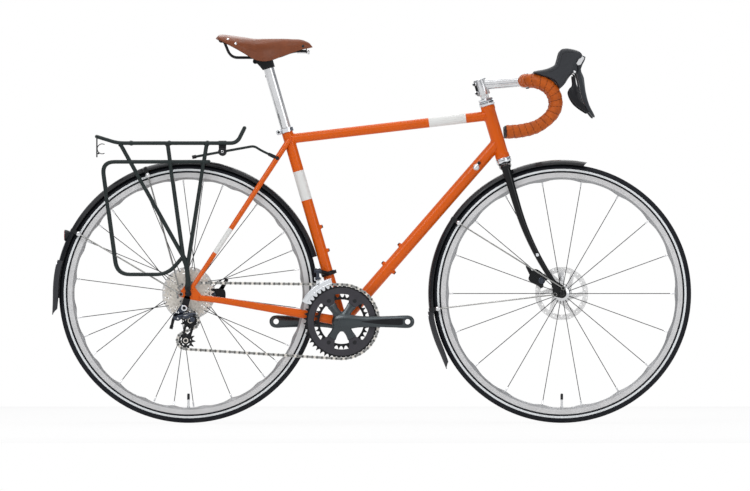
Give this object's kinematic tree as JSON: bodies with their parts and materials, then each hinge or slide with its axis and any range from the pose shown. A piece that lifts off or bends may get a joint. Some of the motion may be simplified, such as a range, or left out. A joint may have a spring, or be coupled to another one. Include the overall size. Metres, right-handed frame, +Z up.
{
  "type": "touring bicycle",
  "caption": "Drop-bar touring bicycle with mudguards, a rear rack, disc brakes, derailleur gears and a leather saddle.",
  "frame": {"origin": "on the ground, below the middle of the bicycle's overall length, in its centre plane", "axes": "+X forwards, +Y to the rider's left, +Z up"},
  "size_m": [1.6722, 0.4658, 1.0101],
  "materials": {
    "frame_paint": "gloss orange enamel with white bands",
    "black_paint": "gloss black enamel",
    "rack_paint": "satin dark grey powder coat",
    "tyre": "matt rubber with a pale reflective stripe",
    "rim": "machined brake track and satin anodised well",
    "hub": "polished hub shell, stainless spokes and rotor",
    "sprocket": "nickel-plated steel",
    "chain": "lightly oiled steel",
    "axle": "ground steel",
    "release": "polished",
    "mudguard": "gloss black plastic with bright wire stays",
    "reflector": "red prismatic lens",
    "brake": "satin black cast body",
    "brake_arm": "satin grey",
    "crank": "dark grey anodised",
    "ring": "dark grey anodised with bare tooth edges",
    "mech_body": "satin dark grey",
    "mech_plate": "brushed",
    "pulley": "moulded black nylon",
    "chrome": "bright chrome plate",
    "stem_metal": "polished",
    "bar_tape": "stitched brown leather tape",
    "hood": "matt moulded rubber",
    "lever": "satin dark anodised",
    "leather": "worn brown leather with copper rivets",
    "saddle_metal": "black enamel"
  },
  "bodies": {
    "frame": {"head_tube": "frame_paint", "top_tube": "frame_paint", "down_tube": "frame_paint", "seat_tube": "frame_paint", "stays_right": "frame_paint", "stays_left": "frame_paint", "seat_clamp": "chrome", "headset_upper_cup": "chrome", "headset_lower_cup": "chrome", "rack": "rack_paint", "bottom_bracket": "black_paint", "front_derailleur_band": "mech_body", "rear_axle": "axle", "rear_mudguard": "mudguard", "rear_reflector": "reflector", "rear_caliper": "brake", "chain": "chain"},
    "seat": {"seatpost": "chrome", "saddle_clamp": "saddle_metal", "saddle_frame": "saddle_metal", "saddle_top": "leather"},
    "rear_wheel": {"rear_tyre": "tyre", "rear_rim": "rim", "rear_hub": "hub"},
    "sprockets": {"cassette": "sprocket"},
    "rear_release": {"rear_quick_release": "release"},
    "rear_brake_arm": {"rear_caliper_arm": "brake_arm"},
    "cranks": {"right_crank": "crank", "left_crank": "crank", "large_chainring": "ring", "small_chainring": "ring"},
    "rear_mech_body": {"rear_derailleur_body": "mech_body"},
    "rear_mech_link": {"rear_derailleur_link": "mech_plate"},
    "rear_mech_knuckle": {"rear_derailleur_knuckle": "mech_body"},
    "rear_mech_cage": {"rear_derailleur_cage": "mech_plate"},
    "guide_wheel": {"guide_pulley": "pulley"},
    "tension_wheel": {"tension_pulley": "pulley"},
    "front_mech_link": {"front_derailleur_link": "mech_plate"},
    "front_mech_cage": {"front_derailleur_cage": "mech_plate"},
    "steering": {"fork": "black_paint", "headset_locknut": "chrome", "stem": "stem_metal", "handlebar": "stem_metal", "bar_tape_right": "bar_tape", "bar_tape_left": "bar_tape", "lever_hood_right": "hood", "lever_hood_left": "hood", "front_axle": "axle", "front_mudguard": "mudguard", "front_caliper": "brake"},
    "front_wheel": {"front_tyre": "tyre", "front_rim": "rim", "front_hub": "hub"},
    "front_release": {"front_quick_release": "release"},
    "front_brake_arm": {"front_caliper_arm": "brake_arm"},
    "right_brake_lever": {"brake_lever_right": "lever"},
    "left_brake_lever": {"brake_lever_left": "lever"},
    "right_shift_lever": {"shift_lever_right": "lever"},
    "left_shift_lever": {"shift_lever_left": "lever"}
  },
  "joints": [
    {"name": "steer", "type": "hinge", "parent": "frame", "child": "steering", "pos_m": [0.45257, 0, 0.32571], "axis": [-0.2857, 0, 0.9583], "range_deg": [-65, 65]},
    {"name": "seat_height", "type": "slide", "parent": "frame", "child": "seat", "axis": [-0.2773, 0, 0.9608], "range_m": [-0.045, 0.12]},
    {"name": "rear_wheel_spin", "type": "hinge", "parent": "frame", "child": "rear_wheel", "pos_m": [-0.48087, 0, 0.339], "axis": [0, 1, 0], "continuous": true},
    {"name": "front_wheel_spin", "type": "hinge", "parent": "steering", "child": "front_wheel", "pos_m": [0.49713, 0, 0.339], "axis": [0, 1, 0], "continuous": true},
    {"name": "crank_spin", "type": "hinge", "parent": "frame", "child": "cranks", "pos_m": [-0.07927, 0, 0.2654], "axis": [0, 1, 0], "continuous": true, "deforming": ["chain"]},
    {"name": "sprocket_spin", "type": "hinge", "parent": "frame", "child": "sprockets", "pos_m": [-0.48087, 0, 0.339], "axis": [0, 1, 0], "continuous": true, "deforming": ["chain"]},
    {"name": "rear_release_swing", "type": "hinge", "parent": "frame", "child": "rear_release", "pos_m": [-0.48087, 0.0829, 0.339], "axis": [-1, 0, 0], "range_deg": [0, 180]},
    {"name": "front_release_swing", "type": "hinge", "parent": "steering", "child": "front_release", "pos_m": [0.49713, 0.0654, 0.339], "axis": [-1, 0, 0], "range_deg": [0, 180]},
    {"name": "rear_arm_turn", "type": "hinge", "parent": "frame", "child": "rear_brake_arm", "pos_m": [-0.4005, 0.0588, 0.3414], "axis": [0, 1, 0], "range_deg": [0, 24]},
    {"name": "front_arm_turn", "type": "hinge", "parent": "steering", "child": "front_brake_arm", "pos_m": [0.42568, 0.0488, 0.37586], "axis": [0, -1, 0], "range_deg": [0, 24]},
    {"name": "right_brake_pull", "type": "hinge", "parent": "steering", "child": "right_brake_lever", "pos_m": [0.53757, -0.21, 0.95562], "axis": [0, 1, 0], "range_deg": [0, 12], "stiffness_Nm_per_rad": 8, "springref_deg": -11.46},
    {"name": "left_brake_pull", "type": "hinge", "parent": "steering", "child": "left_brake_lever", "pos_m": [0.53757, 0.21, 0.95562], "axis": [0, 1, 0], "range_deg": [0, 12], "stiffness_Nm_per_rad": 8, "springref_deg": -11.46},
    {"name": "right_shift_swing", "type": "hinge", "parent": "right_brake_lever", "child": "right_shift_lever", "pos_m": [0.53227, -0.21, 0.89332], "axis": [0.9775, 0, 0.2108], "range_deg": [0, 20], "stiffness_Nm_per_rad": 0.8, "springref_deg": -11.46},
    {"name": "left_shift_swing", "type": "hinge", "parent": "left_brake_lever", "child": "left_shift_lever", "pos_m": [0.53227, 0.21, 0.89332], "axis": [-0.9775, 0, -0.2108], "range_deg": [0, 20], "stiffness_Nm_per_rad": 0.8, "springref_deg": -11.46},
    {"name": "rear_mech_tilt", "type": "hinge", "parent": "frame", "child": "rear_mech_body", "pos_m": [-0.49137, -0.0738, 0.301], "axis": [0, 1, 0], "range_deg": [0, 25], "stiffness_Nm_per_rad": 3, "springref_deg": -14.32, "deforming": ["chain"]},
    {"name": "rear_mech_shift", "type": "hinge", "parent": "rear_mech_body", "child": "rear_mech_link", "pos_m": [-0.50787, -0.0801, 0.279], "axis": [0, 0.6816, 0.7317], "range_deg": [-17, 49.5], "stiffness_Nm_per_rad": 1.5, "deforming": ["chain"]},
    {"name": "rear_mech_level", "type": "hinge", "parent": "rear_mech_link", "child": "rear_mech_knuckle", "pos_m": [-0.46483, -0.08679, 0.28524], "axis": [0, 0.6816, 0.7317], "range_deg": [-49.5, 17], "deforming": ["chain"]},
    {"name": "rear_mech_cage_turn", "type": "hinge", "parent": "rear_mech_knuckle", "child": "rear_mech_cage", "pos_m": [-0.46987, -0.0545, 0.271], "axis": [0, 1, 0], "range_deg": [-50, 20], "stiffness_Nm_per_rad": 2, "deforming": ["chain"]},
    {"name": "guide_wheel_spin", "type": "hinge", "parent": "rear_mech_cage", "child": "guide_wheel", "pos_m": [-0.47587, -0.0545, 0.268], "axis": [0, 1, 0], "continuous": true, "deforming": ["chain"]},
    {"name": "tension_wheel_spin", "type": "hinge", "parent": "rear_mech_cage", "child": "tension_wheel", "pos_m": [-0.4876, -0.0545, 0.21611], "axis": [0, 1, 0], "continuous": true, "deforming": ["chain"]},
    {"name": "front_mech_shift", "type": "hinge", "parent": "frame", "child": "front_mech_link", "pos_m": [-0.14177, -0.043, 0.3984], "axis": [1, 0, 0], "range_deg": [0, 20], "stiffness_Nm_per_rad": 2, "deforming": ["chain"]},
    {"name": "front_mech_level", "type": "hinge", "parent": "front_mech_link", "child": "front_mech_cage", "pos_m": [-0.14177, -0.043, 0.3784], "axis": [1, 0, 0], "range_deg": [-20, 0], "deforming": ["chain"]}
  ],
  "couplings": [
    {"joint": "sprocket_spin", "follows": "crank_spin", "ratio": 3.4286},
    {"joint": "guide_wheel_spin", "follows": "crank_spin", "ratio": -4.3636},
    {"joint": "tension_wheel_spin", "follows": "crank_spin", "ratio": 4.3636},
    {"joint": "rear_mech_level", "follows": "rear_mech_shift", "ratio": -1},
    {"joint": "front_mech_level", "follows": "front_mech_shift", "ratio": -1},
    {"joint": "front_arm_turn", "follows": "right_brake_pull", "ratio": 2},
    {"joint": "rear_arm_turn", "follows": "left_brake_pull", "ratio": 2}
  ]
}
